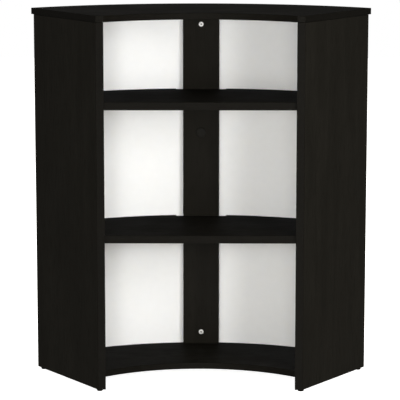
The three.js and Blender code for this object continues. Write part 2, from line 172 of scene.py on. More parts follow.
def rectangle(left, bottom, right, top):
    corners = [(left, bottom), (right, bottom), (right, top), (left, top)]
    return [Vector(corner) for corner in corners]


def worktop_outline():
    far = math.atan2(FAR_CORNER_Y - ARC_Y, HALF_WIDTH)
    near = math.asin((NEAR_Y - ARC_Y) / NEAR_RADIUS)
    corner = Vector((NEAR_HALF_WIDTH, NEAR_Y))
    rear = arc(OUTER_RADIUS, far, math.pi - far)
    hollow = arc(NEAR_RADIUS, math.pi - near, near)
    return [corner] + rear + mirrored([corner]) + hollow


def shelf_corner(radius):
    """Direction of the point where a bowed edge meets the right end of a shelf."""
    return polar(side_point(1, along_at_radius(SHELF_END, radius), SHELF_END))


def bottom_shelf_outline():
    rear = shelf_corner(SHELF_REAR_RADIUS)
    near = shelf_corner(NEAR_RADIUS)
    return arc(SHELF_REAR_RADIUS, rear, math.pi - rear) + arc(NEAR_RADIUS, math.pi - near, near)


def straight_shelf_outline():
    rear = shelf_corner(SHELF_REAR_RADIUS)
    notch = math.acos(NOTCH_WIDTH / 2 / SHELF_REAR_RADIUS)
    front = side_point(1, along_at_y(SHELF_END, SHELF_FRONT_Y), SHELF_END).xy
    step = Vector((NOTCH_WIDTH / 2, ARC_Y + SHELF_REAR_RADIUS - NOTCH_DEPTH))
    half = [front] + arc(SHELF_REAR_RADIUS, rear, notch, NOTCHED_ARC_STEPS) + [step]
    return half + mirrored(half)


# ---- mesh building ----

CORNER_STEPS = 4
CORNER_RADIUS = 1.6
CORNER_LEAST = 0.15
SHARP_TURN = math.radians(12)    # a smaller turn belongs to a bowed edge, and is not rounded
SHARP_FOLD = math.radians(32)    # faces that meet at a smaller angle are shaded as one surface


def soften(points, radius):
    """The outline with its sharp corners rounded. radius is that of the outward corners. An inward corner
    gets as much more as an outward one gets less, so that both stay true through all the rings of a
    board."""
    rounded = []
    count = len(points)
    for i, point in enumerate(points):
        before = (point - points[i - 1]).normalized()
        after = (points[(i + 1) % count] - point).normalized()
        turn = math.atan2(before.cross(after), before.dot(after))
        if abs(turn) < SHARP_TURN:
            rounded.append(point)
            continue
        size = max(CORNER_LEAST, radius if turn > 0 else 2 * CORNER_RADIUS - radius)
        reach = size * math.tan(abs(turn) / 2)
        centre = point - reach * before + math.copysign(size, turn) * Vector((-before.y, before.x))
        spoke = point - reach * before - centre
        for k in range(CORNER_STEPS + 1):
            share = turn * k / CORNER_STEPS
            rounded.append(centre + Matrix.Rotation(share, 2) @ spoke)
    return rounded


def inset(points, distance):
    """The outline moved inwards, to its left."""
    moved = []
    count = len(points)
    for i, point in enumerate(points):
        before = (point - points[i - 1]).normalized()
        after = (points[(i + 1) % count] - point).normalized()
        mitre = Vector((-before.y - after.y, before.x + after.x)) / (1 + before.dot(after))
        moved.append(point + distance * mitre)
    return moved


def loft(rings, section_of=None):
    """A closed mesh through rings of equal count. section_of gives each band of faces its material's
    index."""
    bm = bmesh.new()
    count = len(rings[0])
    levels = [[bm.verts.new(p) for p in ring] for ring in rings]
    for level, (lower, upper) in enumerate(zip(levels, levels[1:])):
        for i in range(count):
            j = (i + 1) % count
            face = bm.faces.new((lower[i], lower[j], upper[j], upper[i]))
            if section_of:
                face.material_index = section_of[level]
    bm.faces.new(list(reversed(levels[0])))
    bm.faces.new(levels[-1])
    bmesh.ops.recalc_face_normals(bm, faces=bm.faces)
    return bm


def smooth(mesh):
    mesh.shade_smooth()
    mesh.set_sharp_from_angle(angle=SHARP_FOLD)


def finished_mesh(name, bm, materials):
    mesh = bpy.data.meshes.new(name)
    bm.to_mesh(mesh)
    bm.free()
    for material in materials:
        mesh.materials.append(material)
    smooth(mesh)
    return mesh


# Thickness of an edge band, and the radius of its eased corners.
THIN_BAND = (1.3, 0.7)
THICK_BAND = (2.0, 1.2)
BAND_GROOVE = 0.12
EDGE_STEPS = 4


def banded_section(thickness, band, edge):
    """(inset, depth) pairs through a board with banded edges, from one face to the other, and the
    material of each step: 0 is the board's face and 1 its edge band. A hair-fine groove parts the two."""
    low = [(band + BAND_GROOVE, 0), (band, BAND_GROOVE), (band - BAND_GROOVE, 0)]
    for k in range(EDGE_STEPS + 1):
        angle = math.pi / 2 * k / EDGE_STEPS
        low.append((edge - edge * math.sin(angle), edge - edge * math.cos(angle)))
    section = low + [(i, thickness - z) for i, z in reversed(low)]
    steps = [0] + [1] * (len(section) - 3) + [0]
    return section, steps


def board_mesh(name, outline, thickness, place, banding, face):
    """A board with its outline in the plane of its faces. place turns (u, v, depth) into a point in
    millimetres. banding is one of the pairs above, and face the material of the two faces."""
    area = sum(a.cross(b) for a, b in zip(outline, outline[1:] + outline[:1]))
    if area < 0:
        outline = list(reversed(outline))
    section, steps = banded_section(thickness, *banding)
    rings = []
    for distance, depth in section:
        ring = soften(inset(outline, distance), CORNER_RADIUS - distance)
        rings.append([place(p.x, p.y, depth) * MM for p in ring])
    return finished_mesh(name, loft(rings, steps), [face, board_edge])


# Sides of a round face, by what it belongs to.
HOLE_SIDES = 24
BOLT_HOLE_SIDES = 32
SMALL_TURNED_SIDES = 24
TURNED_SIDES = 48
WIDE_TURNED_SIDES = 64

THREAD_STEPS = 6   # rings in one turn of a thread
Thread = namedtuple("Thread", "start end pitch depth")


def ring_round(matrix, radius, z, sides):
    """Points of a regular polygon round the matrix's own Z, in metres."""
    angles = [2 * math.pi * i / sides for i in range(sides)]
    return [matrix @ Vector((radius * math.cos(a), radius * math.sin(a), z)) * MM for a in angles]


def turned(profile, matrix, sides=TURNED_SIDES, thread=None):
    """A turned solid. profile is a list of (radius, distance) along the axis, which is the matrix's own Z.
    A thread is a helical groove, and the profile between its start and its end is one step."""
    steps = []
    for (r0, d0), (r1, d1) in zip(profile, profile[1:]):
        pieces = 1
        if thread and thread.start <= d0 and d1 <= thread.end:
            pieces = max(1, round((d1 - d0) / thread.pitch * THREAD_STEPS))
        for k in range(pieces):
            steps.append((r0 + (r1 - r0) * k / pieces, d0 + (d1 - d0) * k / pieces))
    steps.append(profile[-1])
    rings = []
    for radius, distance in steps:
        ring = []
        for i in range(sides):
            angle = 2 * math.pi * i / sides
            r = radius
            if thread and thread.start < distance < thread.end:
                phase = (distance / thread.pitch - i / sides) % 1
                r = radius - thread.depth * (1 - abs(2 * phase - 1))
            ring.append(matrix @ Vector((r * math.cos(angle), r * math.sin(angle), distance)) * MM)
        rings.append(ring)
    return loft(rings)


def prism(sides, radius, low, high, matrix):
    """A regular prism between two distances along the matrix's own Z."""
    return loft([ring_round(matrix, radius, z, sides) for z in (low, high)])


def slab(low, high, matrix):
    """A box between two corners, in millimetres, in the matrix's own directions."""
    corners = rectangle(low[0], low[1], high[0], high[1])
    rings = [[matrix @ Vector((*p, z)) * MM for p in corners] for z in (low[2], high[2])]
    return loft(rings)


NEARLY_UPRIGHT = 0.9


def axes(origin, along, across=None):
    """A matrix in millimetres whose Z is along, and whose X is across where that is given."""
    z = along.normalized()
    is_upright = abs(z.z) > NEARLY_UPRIGHT
    x = (across or (TO_VISITOR if is_upright else UP)).normalized()
    y = z.cross(x)
    turn = Matrix((x, y, z)).transposed().to_4x4()
    return Matrix.Translation(origin) @ turn


def cut(mesh, cutters, material):
    """The mesh less its cutters. The faces of a cut show the given material."""
    body = bpy.data.objects.new("body_to_cut", mesh)
    scene.collection.objects.link(body)
    tools = []
    for bm in cutters:
        tool = bpy.data.objects.new("cutter", finished_mesh("cutter", bm, [material]))
        scene.collection.objects.link(tool)
        tools.append(tool)
        modifier = body.modifiers.new("cut", "BOOLEAN")
        modifier.operation = "DIFFERENCE"
        modifier.solver = "EXACT"
        modifier.material_mode = "TRANSFER"
        modifier.object = tool
    evaluated = body.evaluated_get(bpy.context.evaluated_depsgraph_get())
    result = bpy.data.meshes.new_from_object(evaluated)
    result.name = mesh.name
    for obj in [body, *tools]:
        bpy.data.objects.remove(obj)
    smooth(result)
    return result


def show(mesh, node, suffix):
    """Puts the mesh in place of a CAD node."""
    piece = bpy.data.objects.new(f"{node}_{suffix}", mesh)
    scene.collection.objects.link(piece)
    normals = piece.modifiers.new("flat faces stay flat", "WEIGHTED_NORMAL")
    normals.keep_sharp = True
    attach(piece, "root")
    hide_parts(node)
    return piece


# ---- materials ----


def colour_ramp(tree, stops):
    """A ramp node. stops are (place, colour) pairs, the colour being a grey level or a tuple."""
    made = tree.nodes.new("ShaderNodeValToRGB")
    elements = made.color_ramp.elements
    while len(elements) < len(stops):
        elements.new(0.5)
    for element, (at, colour) in zip(elements, stops):
        element.position = at
        level = colour if isinstance(colour, tuple) else (colour,) * 3
        element.color = (*level, 1)
    return made


def colour_mix(tree, share, first, second):
    """The mix of two colours, each of them a socket or a constant."""
    made = tree.nodes.new("ShaderNodeMix")
    made.data_type = "RGBA"
    sockets = {socket.identifier: socket for socket in made.inputs}
    tree.links.new(share, sockets["Factor_Float"])
    for name, value in (("A_Color", first), ("B_Color", second)):
        if isinstance(value, bpy.types.NodeSocket):
            tree.links.new(value, sockets[name])
        else:
            sockets[name].default_value = (*value, 1)
    return next(socket for socket in made.outputs if socket.identifier == "Result_Color")


class Finish:
    """A node material with one Principled shader."""

    def __init__(self, name, **constants):
        self.material = bpy.data.materials.new(name)
        self.material.use_nodes = True
        self.tree = self.material.node_tree
        self.shader = self.tree.nodes["Principled BSDF"]
        for socket, value in constants.items():
            self.shader.inputs[socket.replace("_", " ")].default_value = value
        self.bumped = None

    def node(self, kind, inputs):
        made = self.tree.nodes.new(kind)
        for socket, value in inputs.items():
            if isinstance(value, bpy.types.NodeSocket):
                self.tree.links.new(value, made.inputs[socket])
            else:
                made.inputs[socket].default_value = value
        return made

    def link(self, socket, value):
        self.tree.links.new(value, self.shader.inputs[socket])

    def place(self, scale=(1, 1, 1), offset=(0, 0, 0)):
        """Coordinates in metres on the object, stretched by the scale."""
        coordinates = self.node("ShaderNodeTexCoord", {}).outputs["Object"]
        inputs = {"Vector": coordinates, "Scale": scale, "Location": offset}
        return self.node("ShaderNodeMapping", inputs).outputs["Vector"]

    def noise(self, where, scale, detail, roughness, distortion=0.0):
        inputs = {"Vector": where, "Scale": scale, "Detail": detail, "Roughness": roughness}
        inputs["Distortion"] = distortion
        return self.node("ShaderNodeTexNoise", inputs).outputs["Fac"]

    def cells(self, where, scale):
        return self.node("ShaderNodeTexVoronoi", {"Vector": where, "Scale": scale}).outputs

    def ramp(self, value, stops, eased=False):
        made = colour_ramp(self.tree, stops)
        made.color_ramp.interpolation = "EASE" if eased else "LINEAR"
        self.tree.links.new(value, made.inputs["Fac"])
        return made.outputs["Color"]

    def mixed(self, share, first, second):
        return colour_mix(self.tree, share, first, second)

    def bump(self, height, depth_mm, strength):
        """Adds one more layer of relief."""
        inputs = {"Height": height, "Distance": depth_mm * MM, "Strength": strength}
        if self.bumped:
            inputs["Normal"] = self.bumped
        self.bumped = self.node("ShaderNodeBump", inputs).outputs["Normal"]
        self.tree.links.new(self.bumped, self.shader.inputs["Normal"])


# Each material's two tones, the darker one first.
BOARD_TONES = ((0.0080, 0.0071, 0.0052), (0.0102, 0.0091, 0.0068))
# The edge band's tones are darker than the faces' as painted shade, offsetting the stronger frontal light
# on the edges.
BAND_TONES_PAINTED_SHADE = ((0.0036, 0.0031, 0.0022), (0.0058, 0.0051, 0.0037))
CHIP_TONES = ((0.21, 0.13, 0.07), (0.48, 0.34, 0.20))
OPAL_TONES = ((0.862, 0.862, 0.852), (0.874, 0.874, 0.864))
NICKEL_TONES = ((0.80, 0.79, 0.76), (0.88, 0.87, 0.84))
# The socket's near-black tones are painted shade for the recess.
SOCKET_SHADE_TONES = ((0.010, 0.010, 0.009), (0.028, 0.027, 0.025))
ZINC_TONES = ((0.27, 0.27, 0.265), (0.43, 0.43, 0.42))
MOULDING_TONES = ((0.0075, 0.0068, 0.0052), (0.0098, 0.009, 0.007))
BEECH_TONES = ((0.42, 0.27, 0.14), (0.62, 0.44, 0.26))

CHIP_FIBRE = (0.36, 0.25, 0.15)
BEECH_RAY = (0.30, 0.17, 0.08)
PORE_TONE = tuple(0.75 * c for c in BOARD_TONES[0])
PORE_ROUGHNESS = (0.68, 0.68, 0.68)


def between(places, levels):
    """Ramp stops: one level up to the first place, the other from the second place on."""
    return list(zip(places, levels))


def drawn_out(axis, share):
    """A scale that draws a texture out along one axis."""
    scale = [1.0, 1.0, 1.0]
    scale[axis] = share
    return scale


def black_melamine(name, grain_axis):
    """Black melamine with a printed and pressed wood grain, which runs in the direction of grain_axis."""
    finish = Finish(name, Specular_IOR_Level=0.10)
    figure = finish.noise(finish.place(drawn_out(grain_axis, 0.09)), 26, 4, 0.6, 0.6)
    pores = finish.noise(finish.place(drawn_out(grain_axis, 0.035), (3, 5, 7)), 640, 3, 0.6)
    grit = finish.noise(finish.place(), 2600, 2, 0.5)
    smudges = finish.noise(finish.place(offset=(9, 2, 4)), 7, 3, 0.5)
    tone = finish.ramp(figure, between((0.35, 0.72), BOARD_TONES), eased=True)
    streaks = finish.ramp(pores, between((0.34, 0.46), (1.0, 0.0)))
    finish.link("Base Color", finish.mixed(streaks, tone, PORE_TONE))
    gloss = finish.ramp(smudges, between((0.3, 0.7), (0.50, 0.60)), eased=True)
    finish.link("Roughness", finish.mixed(streaks, gloss, PORE_ROUGHNESS))
    finish.bump(streaks, 0.03, -0.5)
    finish.bump(grit, 0.012, 0.5)
    return finish.material


def black_edge_band(name):
    """The plastic band on the boards' edges: plainer and a little smoother than their faces, and darker as
    painted shade against the frontal light.
    """
    finish = Finish(name, Specular_IOR_Level=0.10)
    lines = finish.noise(finish.place((1, 1, 6)), 90, 3, 0.55)
    grit = finish.noise(finish.place(), 1900, 2, 0.5)
    finish.link("Base Color", finish.ramp(lines, between((0.35, 0.7), BAND_TONES_PAINTED_SHADE), eased=True))
    finish.link("Roughness", finish.ramp(lines, between((0.3, 0.7), (0.48, 0.56)), eased=True))
    finish.bump(lines, 0.02, 0.3)
    finish.bump(grit, 0.008, 0.4)
    return finish.material


def raw_chipboard(name):
    """Cut particle board, seen inside holes and grooves."""
    finish = Finish(name, Specular_IOR_Level=0.2)
    chips = finish.cells(finish.place((1, 1, 2)), 420.0)
    fibres = finish.noise(finish.place((1, 1, 0.3)), 900, 4, 0.7)
    tone = finish.ramp(chips["Color"], between((0.15, 0.85), CHIP_TONES))
    finish.link("Base Color", finish.mixed(fibres, tone, CHIP_FIBRE))
    finish.link("Roughness", finish.ramp(fibres, between((0.3, 0.7), (0.8, 0.95))))
    finish.bump(chips["Distance"], 0.25, 0.6)
    finish.bump(fibres, 0.12, 0.6)
    return finish.material


def opal_plastic(name):
    """White opal sheet, semi-matt, with the faint unevenness of an extruded sheet."""
    glow = {"Subsurface_Weight": 0.15, "Subsurface_Radius": (1.0, 0.95, 0.85), "Subsurface_Scale": 0.0015}
    finish = Finish(name, Specular_IOR_Level=0.45, **glow)
    waves = finish.noise(finish.place((1, 1, 0.25)), 9, 2, 0.5)
    grain = finish.noise(finish.place(), 1500, 3, 0.55)
    specks = finish.noise(finish.place(offset=(4, 1, 8)), 46, 3, 0.6)
    finish.link("Base Color", finish.ramp(specks, between((0.3, 0.7), OPAL_TONES), eased=True))
    finish.link("Roughness", finish.ramp(specks, between((0.3, 0.7), (0.34, 0.42)), eased=True))
    finish.bump(waves, 0.5, 0.2)
    finish.bump(grain, 0.006, 0.5)
    return finish.material


def nickel_plate(name):
    """Satin nickel on turned steel, with fine turning marks and a little wear in the gloss."""
    finish = Finish(name, Metallic=0.5, Specular_IOR_Level=0.5)
    rub = finish.noise(finish.place(), 260, 4, 0.6)
    rings = finish.noise(finish.place(offset=(1, 6, 2)), 2400, 2, 0.5)
    finish.link("Base Color", finish.ramp(rub, between((0.3, 0.7), NICKEL_TONES), eased=True))
    finish.link("Roughness", finish.ramp(rub, between((0.3, 0.7), (0.30, 0.44)), eased=True))
    finish.bump(rings, 0.01, 0.4)
    return finish.material


def painted_shade_steel(name):
    """The inside of a wrench socket in near-black steel, its darkness painted shade for the recess, with a
    faint dull film.
    """
    finish = Finish(name, Metallic=0.8)
    film = finish.noise(finish.place(), 1400, 3, 0.6)
    finish.link("Base Color", finish.ramp(film, between((0.3, 0.7), SOCKET_SHADE_TONES), eased=True))
    finish.link("Roughness", finish.ramp(film, between((0.3, 0.7), (0.35, 0.6)), eased=True))
    finish.bump(film, 0.02, 0.4)
    return finish.material


def zinc_alloy(name):
    """Die-cast zinc, tumbled: dull, with a fine cast skin."""
    finish = Finish(name, Metallic=0.9, Specular_IOR_Level=0.4)
    skin = finish.noise(finish.place(), 700, 5, 0.65)
    pits = finish.cells(finish.place(), 900.0)
    finish.link("Base Color", finish.ramp(skin, between((0.3, 0.7), ZINC_TONES), eased=True))
    finish.link("Roughness", finish.ramp(skin, between((0.3, 0.7), (0.42, 0.6)), eased=True))
    finish.bump(pits["Distance"], 0.04, 0.4)
    finish.bump(skin, 0.05, 0.5)
    return finish.material


def black_moulding(name):
    """Moulded black plastic with a fine spark-eroded texture."""
    finish = Finish(name, Specular_IOR_Level=0.12)
    texture = finish.noise(finish.place(), 1700, 4, 0.6)
    scuffs = finish.noise(finish.place(offset=(2, 7, 5)), 120, 4, 0.65)
    finish.link("Base Color", finish.ramp(scuffs, between((0.35, 0.75), MOULDING_TONES), eased=True))
    finish.link("Roughness", finish.ramp(texture, between((0.3, 0.7), (0.42, 0.58)), eased=True))
    finish.bump(texture, 0.03, 0.5)
    return finish.material


def beech_wood(name):
    """Beech dowel: straight grain up the dowel with short darker rays."""
    finish = Finish(name, Specular_IOR_Level=0.3)
    grain = finish.noise(finish.place((1, 1, 0.06)), 900, 4, 0.6)
    rays = finish.noise(finish.place((1, 1, 0.25), (5, 3, 1)), 1500, 2, 0.5)
    tone = finish.ramp(grain, between((0.3, 0.7), BEECH_TONES), eased=True)
    dashes = finish.ramp(rays, between((0.3, 0.4), (1.0, 0.0)))
    finish.link("Base Color", finish.mixed(dashes, tone, BEECH_RAY))
    finish.link("Roughness", finish.ramp(grain, between((0.3, 0.7), (0.6, 0.75))))
    finish.bump(grain, 0.05, 0.5)
    return finish.material


board_face_x = black_melamine("black_board_grain_across", 0)
board_face_z = black_melamine("black_board_grain_upright", 2)
board_edge = black_edge_band("black_edge_band")
chipboard = raw_chipboard("raw_chipboard")
opal = opal_plastic("opal_sheet")
nickel = nickel_plate("nickel_plated_steel")
socket_steel = painted_shade_steel("socket_painted_shade")
zinc = zinc_alloy("zinc_casting")
plastic = black_moulding("black_moulded_plastic")
beech = beech_wood("beech_dowel")

# ---- fittings: their places, and the holes that take them ----

CAM_RADIUS = 7.5
CAM_BACK = 4.6             # from the cam bolt's axis to the cam's far end
CAM_POCKET_RADIUS = 8.1
CAM_BORE_RADIUS = 4.2
CAM_BORE_OVERLAP = 2       # how far that bore runs past its board's end
THREAD_HOLE_RADIUS = 3.6
CAM_BOLT_THREAD_LENGTH = 11
DOWEL_RADIUS = 4
DOWEL_DOWN = 19
DOWEL_UP = 11
DOWEL_HOLE_RADIUS = 4.6
GLIDE_RADIUS = 8.5
GLIDE_PIN_RADIUS = 1.5
GLIDE_HOLE_RADIUS = 2.0
GLIDE_PIN_TOP = 18
GLIDE_ALONG = {"near": 5, "far": SIDE_LENGTH - 20}
POST_HOLE_RADIUS = 4.8
CAP_RADIUS = 15
CAP_PLUG_RADIUS = 12.2
CAP_PLUG_DEPTH = 9
CAP_HOLE_RADIUS = 12.8

post_low, post_high = box_mm("centre_post")
strip_low, strip_high = box_mm("front_cover_strip")
post_low.z -= SNUG
post_high.z += SNUG
strip_high.z += SNUG
POST_MIDDLE_Y = (post_low.y + post_high.y) / 2
POST_FOOT_DOWEL_Z = SHELF_SPAN["bottom_shelf"][1].z + DOWEL_DOWN - DOWEL_UP


def cam_places():
    """Each cam's node, with the point where it meets its bolt, the way it goes in, the way the bolt
    points, and half the thickness of its board."""
    places = {}
    for name, side in SIDES.items():
        for end, along in CAM_ALONG.items():
            top = side_point(side, along, BOARD / 2, WORKTOP_Z - CAM_SETBACK)
            places[f"worktop_cam_{name}_{end}"] = (top, outwards(side), UP, BOARD / 2)
            for shelf, (low, high) in SHELF_SPAN.items():
                middle = (low.z + high.z) / 2
                centre = side_point(side, along, BOARD + FIT + CAM_SETBACK, middle)
                places[f"{shelf}_cam_{name}_{end}"] = (centre, UP, outwards(side), (high.z - low.z) / 2)
    return places


CAM_PLACES = cam_places()


def cams_of(boards, side=None):
    """The places of the cams that hold the boards, of both sides or of one."""
    for node, place in CAM_PLACES.items():
        if node.startswith(boards) and (side is None or f"_{side}_" in node):
            yield place


def cam_holes(board, side=None):
    """The cutters of the cams in one board: a pocket for each cam and a bore for its bolt."""
    cutters = []
    for centre, into, ahead, half in cams_of(board, side):
        pocket_end = CAM_BACK + FIT
        bore_end = CAM_SETBACK + CAM_BORE_OVERLAP
        pocket = prism(TURNED_SIDES, CAM_POCKET_RADIUS, -half - PAST, pocket_end, axes(centre, into))
        bore = prism(HOLE_SIDES, CAM_BORE_RADIUS, 0, bore_end, axes(centre, ahead))
        cutters += [pocket, bore]
    return cutters


def thread_holes(boards, side=None):
    """The cutters of the holes that the cam bolts are screwed into."""
    cutters = []
    start = CAM_SETBACK - PAST
    end = CAM_SETBACK + FIT + CAM_BOLT_THREAD_LENGTH + END_PLAY
    for centre, _, ahead, _ in cams_of(boards, side):
        cutters.append(prism(HOLE_SIDES, THREAD_HOLE_RADIUS, start, end, axes(centre, ahead)))
    return cutters


def worktop_dowel_point(side):
    return side_point(side, WORKTOP_DOWEL_ALONG, BOARD / 2, WORKTOP_Z)


def post_dowel_point(side, z):
    return Vector((side * POST_DOWEL_X, POST_MIDDLE_Y, z))


def dowel_hole(point):
    low = -DOWEL_DOWN - END_PLAY
    high = DOWEL_UP + END_PLAY
    return prism(HOLE_SIDES, DOWEL_HOLE_RADIUS, low, high, axes(point, UP))


def glide_point(side, end):
    return side_point(side, GLIDE_ALONG[end], BOARD / 2)


def glide_hole(point):
    low = PANEL_FOOT_Z - PAST
    high = GLIDE_PIN_TOP + END_PLAY
    return prism(HOLE_SIDES, GLIDE_HOLE_RADIUS, low, high, axes(point, UP))


def bolt_holes():
    """The cutters of the two post bolts, through the post and the cover strip."""
    cutters = []
    end = strip_high.y - post_low.y + PAST
    for z in POST_BOLT_Z.values():
        start = Vector((0, post_low.y, 0)) + z * UP
        cutters.append(prism(BOLT_HOLE_SIDES, POST_HOLE_RADIUS, -PAST, end, axes(start, TO_VISITOR)))
    return cutters


def cap_hole():
    start = axes(Vector((0, post_low.y, CAP_Z)), TO_VISITOR)
    return prism(TURNED_SIDES, CAP_HOLE_RADIUS, -PAST, CAP_PLUG_DEPTH + END_PLAY, start)


# ---- sheets and their grooves ----

SHEET_MIDDLE_RADIUS = SHEET_RADIUS + SHEET_THICKNESS / 2
GROOVE_ALONG = along_at_radius(BOARD - GROOVE_DEPTH / 2, SHEET_MIDDLE_RADIUS)
SHEET_STEPS = 96
SHEET_EDGE = 0.4


def ring_sector(section, start, end):
    """A bowed solid between two directions. section is its outline in (radius, height) pairs."""
    rings = []
    for i in range(SHEET_STEPS + 1):
        angle = start + (end - start) * i / SHEET_STEPS
        across = Vector((math.cos(angle), math.sin(angle), 0))
        rings.append([(Vector((0, ARC_Y, z)) + r * across) * MM for r, z in section])
    return loft(rings)


def side_groove(side):
    turn = Matrix((along_side(side), -outwards(side), UP)).transposed().to_4x4()
    origin = Matrix.Translation(side_point(side, 0, 0)) @ turn
    low = (GROOVE_ALONG - GROOVE_WIDTH / 2, BOARD - GROOVE_DEPTH, SHEET_FOOT_Z)
    high = (GROOVE_ALONG + GROOVE_WIDTH / 2, BOARD + PAST, HEIGHT)
    return slab(low, high, origin)


def top_groove():
    grip = polar(side_point(1, GROOVE_ALONG, BOARD - GROOVE_DEPTH - PAST))
    inner = SHEET_MIDDLE_RADIUS - GROOVE_WIDTH / 2
    outer = SHEET_MIDDLE_RADIUS + GROOVE_WIDTH / 2
    section = rectangle(inner, WORKTOP_Z - PAST, outer, WORKTOP_Z + TOP_GROOVE_DEPTH)
    return ring_sector(section, grip, math.pi - grip)


def sheet_section(low, high):
    """A sheet's outline across its bow, with eased edges."""
    inner = SHEET_RADIUS
    outer = SHEET_RADIUS + SHEET_THICKNESS
    edge = SHEET_EDGE
    foot = [(inner + edge, low), (outer - edge, low), (outer, low + edge)]
    head = [(outer, high - edge), (outer - edge, high), (inner + edge, high)]
    return foot + head + [(inner, high - edge), (inner, low + edge)]


def build_sheets():
    grip = polar(side_point(1, GROOVE_ALONG, BOARD - SHEET_GRIP))
    middle = math.acos(SHEET_HALF_GAP / SHEET_RADIUS)
    spans = {"left": (math.pi - grip, math.pi - middle), "right": (middle, grip)}
    for name, (start, end) in spans.items():
        node = f"{name}_front_sheet"
        low, high = box_mm(node)
        bm = ring_sector(sheet_section(low.z, high.z), start, end)
        panel = show(finished_mesh(node, bm, [opal]), node, "panel")
        panel.visible_glossy = False


# ---- boards ----


def level_board(low):
    """Places a board that lies level, with its lower face at low."""
    return lambda u, v, depth: Vector((u, v, low + depth))


def splayed_board(side):
    """Places a side panel, whose near edge is cut parallel to the unit's width."""
    slant = math.tan(SPLAY)

    def place(along, z, inward):
        near = 1 - along / SIDE_LENGTH
        return side_point(side, along - slant * inward * near, inward, PANEL_FOOT_Z + z)

    return place


def show_board(mesh, node, cutters):
    show(cut(mesh, cutters, chipboard), node, "board")


def build_worktop():
    place = level_board(WORKTOP_Z)
    blank = board_mesh("worktop", worktop_outline(), BOARD, place, THICK_BAND, board_face_x)
    cutters = [top_groove(), *thread_holes("worktop")]
    for side in SIDES.values():
        cutters.append(dowel_hole(worktop_dowel_point(side)))
        cutters.append(dowel_hole(post_dowel_point(side, WORKTOP_Z)))
    show_board(blank, "worktop", cutters)


def build_shelves():
    for name, (low, high) in SHELF_SPAN.items():
        outline = bottom_shelf_outline() if name == "bottom_shelf" else straight_shelf_outline()
        place = level_board(low.z)
        blank = board_mesh(name, outline, high.z - low.z, place, THIN_BAND, board_face_x)
        cutters = cam_holes(name)
        if name == "bottom_shelf":
            cutters += [dowel_hole(post_dowel_point(side, POST_FOOT_DOWEL_Z)) for side in SIDES.values()]
        show_board(blank, name, cutters)


def build_side_panels():
    height = WORKTOP_Z - FIT + SNUG - PANEL_FOOT_Z
    outline = rectangle(0, 0, SIDE_LENGTH, height)
    for name, side in SIDES.items():
        node = f"{name}_side_panel"
        blank = board_mesh(node, outline, BOARD, splayed_board(side), THIN_BAND, board_face_z)
        cutters = [side_groove(side), dowel_hole(worktop_dowel_point(side))]
        cutters += cam_holes("worktop", name)
        cutters += thread_holes(tuple(SHELF_SPAN), name)
        cutters += [glide_hole(glide_point(side, end)) for end in GLIDE_ALONG]
        show_board(blank, node, cutters)


def build_upright(node, low, high, cutters):
    """The centre post or the cover strip, standing across the unit's middle."""

    def place(x, z, depth):
        return Vector((x, low.y + depth, z))

    outline = rectangle(low.x, low.z, high.x, high.z)
    blank = board_mesh(node, outline, high.y - low.y, place, THIN_BAND, board_face_z)
    show_board(blank, node, cutters)


def build_post_and_strip():
    post_cutters = [*bolt_holes(), cap_hole()]
    for side in SIDES.values():
        post_cutters.append(dowel_hole(post_dowel_point(side, WORKTOP_Z)))
        post_cutters.append(dowel_hole(post_dowel_point(side, POST_FOOT_DOWEL_Z)))
    build_upright("centre_post", post_low, post_high, post_cutters)
    build_upright("front_cover_strip", strip_low, strip_high, bolt_holes())


# ---- fittings ----

UNDER_SEAT = 0.02          # keeps the first ring below a head off the seat itself

BOLT_HEAD_RADIUS = 7.3
BOLT_HEAD_HEIGHT = 2.4
BOLT_SHANK_RADIUS = 3
BOLT_PLAIN_LENGTH = 15
BOLT_REACH = 31
BOLT_PITCH = 1.0
BOLT_THREAD_DEPTH = 0.45
BOLT_TIP_LENGTH = 1
BOLT_TIP_RADIUS = 2.2

NUT_HEAD_HEIGHT = 2.0
SLEEVE_RADIUS = 4.2
SLEEVE_CHAMFER = 0.4
SLEEVE_LENGTH = 24
SLEEVE_BORE_RADIUS = 3.5
SLEEVE_BORE_START = 6

SOCKET_SIDES = 6
SOCKET_HALF_WIDTH = 2.0
SOCKET_DEPTH = 3.6
DRILL_POINT_RADIUS = 0.1
DRILL_POINT_SLOPE = 0.6

# A domed head's crown, shoulder and rim, as shares of its radius or height.
DOME_CROWN = 0.4
DOME_SHOULDER = 0.72
DOME_RIM = 0.42
DOME_STEPS = 6
DOME_SEAT_BEVEL = 0.25


def domed_head(radius, height):
    """Profile of a low domed head, from its crown down to its seat."""
    profile = [(DOME_CROWN * radius, -height)]
    for k in range(1, DOME_STEPS + 1):
        angle = math.pi / 2 * k / DOME_STEPS
        out = DOME_SHOULDER + (1 - DOME_SHOULDER) * math.sin(angle)
        up = DOME_RIM + (1 - DOME_RIM) * math.cos(angle)
        profile.append((radius * out, -height * up))
    return profile + [(radius, -DOME_SEAT_BEVEL), (radius - DOME_SEAT_BEVEL, 0)]


def hex_socket(matrix, head_height):
    """The cutter of a hex socket that ends in a drill point."""
    corner = SOCKET_HALF_WIDTH / math.cos(math.pi / SOCKET_SIDES)
    floor = SOCKET_DEPTH - head_height
    point = floor + DRILL_POINT_SLOPE * corner
    profile = [(corner, -head_height - PAST), (corner, floor), (DRILL_POINT_RADIUS, point)]
    return loft([ring_round(matrix, radius, z, SOCKET_SIDES) for radius, z in profile])


